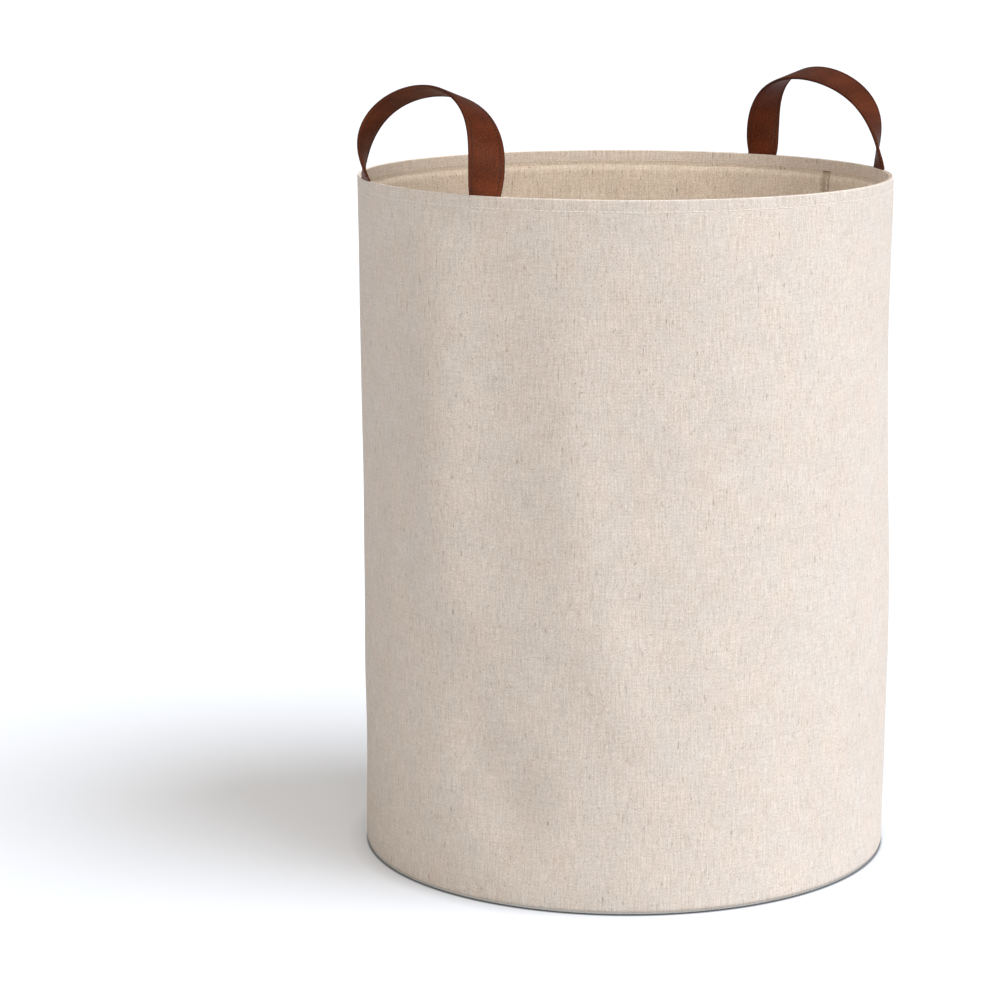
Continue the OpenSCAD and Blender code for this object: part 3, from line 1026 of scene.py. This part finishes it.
def strap(side):
    """One strap as a single piece of leather, from one sewn-in end to the other, and its
    stitches."""
    loop = Loop(side)
    section = strap_section()
    distances = np.concatenate([np.linspace(-STRAP_DEEP, -1, 8),
                                np.linspace(0, loop.length, 190),
                                np.linspace(loop.length + 1, loop.length + STRAP_DEEP, 8)])
    place, along, width, face = loop.frames(distances)
    draw = np.random.default_rng(SEED + (11 if side == "left" else 12))
    wavy = unevenness(distances, draw)
    from_end = loop.length - distances
    free = smooth(distances / UNEVEN_AFTER) * smooth(from_end / UNEVEN_AFTER)
    buckle = (wavy * free)[:, None] * (section[:, 0] / STRAP_W * 2)[None, :] ** 2
    full = smooth(np.minimum(distances, from_end) / THICK_AFTER)
    thickness = SKIVED + (1 - SKIVED) * full
    out = section[None, :, 1] * thickness[:, None] + buckle
    points = (place[:, None] + section[None, :, 0:1] * width[:, None]
              + out[..., None] * face[:, None])
    seated = seat(points.reshape(-1, 3)).reshape(points.shape)
    v = np.append(section[:, 0], section[0, 0])
    piece = grid_mesh(f"{side}_strap", seated, distances, v, row_loop=False, caps=True, flip=True)
    dress(piece, LEATHER)
    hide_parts(f"{side}_handle_face", f"{side}_handle_backing", f"{side}_handle_core",
                f"{side}_handle_front_end", f"{side}_handle_rear_end")
    bend_with_handle(piece)

    threads = []
    pitch, length, thick = STRAP_STITCH
    first_stitch = 1.5
    spots = np.arange(first_stitch, loop.length - first_stitch, pitch)
    place, along, width, face = loop.frames(spots)
    for edge in (-1, 1):
        for out in (-1, 1):
            middle = place + edge * GROOVE_AT * width + out * (STRAP_T / 2 - 0.12) * face
            threads.append((seat(middle), along, out * face))
    places, tangents, outs = (np.concatenate([t[k] for t in threads]) for k in range(3))
    stands_up = 0.2
    sewn = stitches(f"{side}_strap_stitches", places, tangents, outs, length, thick, stands_up,
                    draw)
    dress(sewn, LEATHER_THREAD)
    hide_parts(f"{side}_handle_thread")
    bend_with_handle(sewn)


def bend_with_handle(piece):
    """Bakes the piece's placement into its mesh."""
    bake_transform(piece)


# ---- Hidden parts ----


def hoop():
    """The flat spring strip in the hem, as one closed ring with rounded edges."""
    high, low = level("rim_hoop"), level("rim_hoop", top=False)
    half = (high - low) / 2 - 0.3
    middle = (high + low) / 2
    outer, inner = STRAP_R + 0.5, STRAP_R - 0.5
    profile = [(outer, middle - half), (outer, middle), (outer, middle + half),
               *arc(STRAP_R, middle + half, 0.5, 30, 150, 3),
               (inner, middle + half), (inner, middle), (inner, middle - half),
               *arc(STRAP_R, middle - half, 0.5, 210, 330, 3)]
    settle(tube("hoop", profile, around(4.0)), STEEL, "hoop_steel", "rim_hoop")


def hidden_parts():
    """The hoop, the sleeve round its ends, and the base board, which keeps its CAD mesh."""
    hoop()
    half_turn = math.degrees(CLIP_L / 2 / STRAP_R)
    sleeve = patch("clip_sleeve", STRAP_R + CLIP_T / 2, CLIP_T, level("hoop_clip", top=False),
                   level("hoop_clip"), 90 - half_turn, 90 + half_turn, 8, 5)
    settle(sleeve, STEEL, "hoop_steel", "hoop_clip")
    dress(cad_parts["base_board"], BOARD)


canvas_wall()
foam_wall()
lining_wall()
hem_band()
seam_tape()
base_pieces()
hem_threads()
for handle_side in HANDLE_MIDDLES:
    strap(handle_side)
hidden_parts()

# ---- Floor, light and camera ----

FLOOR_GLOW = 0.2
WORLD_LIGHT = 0.45


def stage():
    """A wide pale floor that glows a little, with a painted shadow that darkens its colour and glow
    at the bin's edge, and weak even light.
    """
    size = 40 / MM
    corners = [(-size, -size, 0), (size, -size, 0), (size, size, 0), (-size, size, 0)]
    floor = make_mesh("floor", corners, [(0, 1, 2, 3)])
    m = Nodes("floor_white")
    grain = m.noise(m.solid(0.002), 2, 0.5)
    pale = m.mix(m.ramp(grain, 0.3, 0.7), (0.53, 0.54, 0.56, 1), (0.55, 0.56, 0.58, 1))
    x, y, _ = m.parts(m.solid())
    from_axis = m.math("SQRT", m.math("ADD", m.math("POWER", x, 2), m.math("POWER", y, 2)))
    # Painted contact shadow: the floor's colour and glow are darkened under the bin's edge, and a
    # softer painted shade dims them for a little way round it
    contact_painted_shadow = m.ramp(from_axis, WALL_R - 0.5, WALL_R + 0.9, 0.3, 1.0)
    near = m.ramp(from_axis, WALL_R, WALL_R + 14, 0.85, 1.0)
    painted_shadow_mask = m.math("MULTIPLY", contact_painted_shadow, near)
    shaded = m.mix(painted_shadow_mask, (0, 0, 0, 1), pale)
    # The glow is cut by the same painted shadow
    m.feed(m.shader.inputs["Emission Strength"], m.math("MULTIPLY", painted_shadow_mask, FLOOR_GLOW))
    m.finish(shaded, 0.95, Specular_IOR_Level=0.0, Emission_Color=(1.0, 1.0, 1.0, 1.0))
    floor.data.materials.append(m.material)

    world = bpy.data.worlds.new("studio")
    world.use_nodes = True
    background = world.node_tree.nodes["Background"]
    background.inputs[0].default_value = (1.0, 0.95, 0.88, 1.0)
    background.inputs[1].default_value = WORLD_LIGHT
    bpy.context.scene.world = world


INSIDE_PIECES = ("lining_wall", "hem_band", "seam_tape", "base_lining_cloth", "base_binding",
                 "hem_stitches_inside", "seam_tape_stitches")
STRAP_PIECES = ("left_strap", "right_strap", "left_strap_stitches", "right_strap_stitches")
# Each light's name, degrees to the right of the camera's side, degrees above the floor, softness
# in degrees, strength, colour, and the pieces that it lights alone (INCLUDE) or leaves out
# (EXCLUDE)
LIGHTS = [
    ("key", 69, 53, 44, 3.8, (0.95, 1.02, 1.13), "EXCLUDE", INSIDE_PIECES + STRAP_PIECES),
    ("front", -6, 50, 60, 1.2, (1.0, 0.95, 0.9), "EXCLUDE", ()),
    ("inside_front", 12, 50, 60, 2.5, (1.0, 1.02, 1.03), "INCLUDE", INSIDE_PIECES),
    ("inside_back", -130, 50, 60, 1.4, (1.0, 0.97, 0.92), "INCLUDE", INSIDE_PIECES),
    ("straps", 12, 20, 50, 2.3, (1.0, 1.0, 0.99), "INCLUDE", STRAP_PIECES),
]


def add_light(name, turn, height, soft, strength, tint, state, pieces):
    """A far, broad light that shines towards the bin."""
    data = bpy.data.lights.new(name, "SUN")
    data.angle = math.radians(soft)
    data.energy = strength
    data.color = tint
    light = bpy.data.objects.new(name, data)
    a, e = math.radians(VIEW_ANGLE + turn), math.radians(height)
    back = Vector((math.cos(a) * math.cos(e), math.sin(a) * math.cos(e), math.sin(e)))
    light.location = back * 3
    light.rotation_mode = "QUATERNION"
    light.rotation_quaternion = (-back).to_track_quat("-Z", "Y")
    bpy.context.scene.collection.objects.link(light)
    receivers = bpy.data.collections.new(name)
    for piece in pieces:
        receivers.objects.link(bpy.data.objects[piece])
    for member in receivers.collection_objects:
        member.light_linking.link_state = state
    if pieces:
        light.light_linking.receiver_collection = receivers


# How far the camera stands back, to the left of the bin's axis and up, then its downward pitch
# and its roll, and its lens
CAMERA_BACK = 2020.6
CAMERA_LEFT = 83.0
CAMERA_Z = 640.0
CAMERA_PITCH = 11.42
CAMERA_ROLL = 0.34
CAMERA_LENS = 110.9
SENSOR_W = 36.0


def camera():
    """A long lens that looks slightly down, from a little left of the bin's axis."""
    data = bpy.data.cameras.new("camera")
    data.sensor_width = SENSOR_W
    data.lens = CAMERA_LENS
    cam = bpy.data.objects.new("camera", data)
    back = math.radians(VIEW_ANGLE)
    pitch = math.radians(CAMERA_PITCH)
    outward = Vector((math.cos(back), math.sin(back), 0))
    left = Vector((math.sin(back), -math.cos(back), 0))
    place = outward * CAMERA_BACK + left * CAMERA_LEFT + Vector((0, 0, CAMERA_Z))
    ahead = -outward * math.cos(pitch) - Vector((0, 0, math.sin(pitch)))
    level_view = ahead.to_track_quat("-Z", "Y")
    cam.location = place * MM
    cam.rotation_mode = "QUATERNION"
    cam.rotation_quaternion = level_view @ Quaternion((0, 0, 1), math.radians(-CAMERA_ROLL))
    bpy.context.scene.collection.objects.link(cam)
    bpy.context.scene.camera = cam


stage()
for light_values in LIGHTS:
    add_light(*light_values)
camera()
bpy.context.scene.view_settings.view_transform = "Standard"
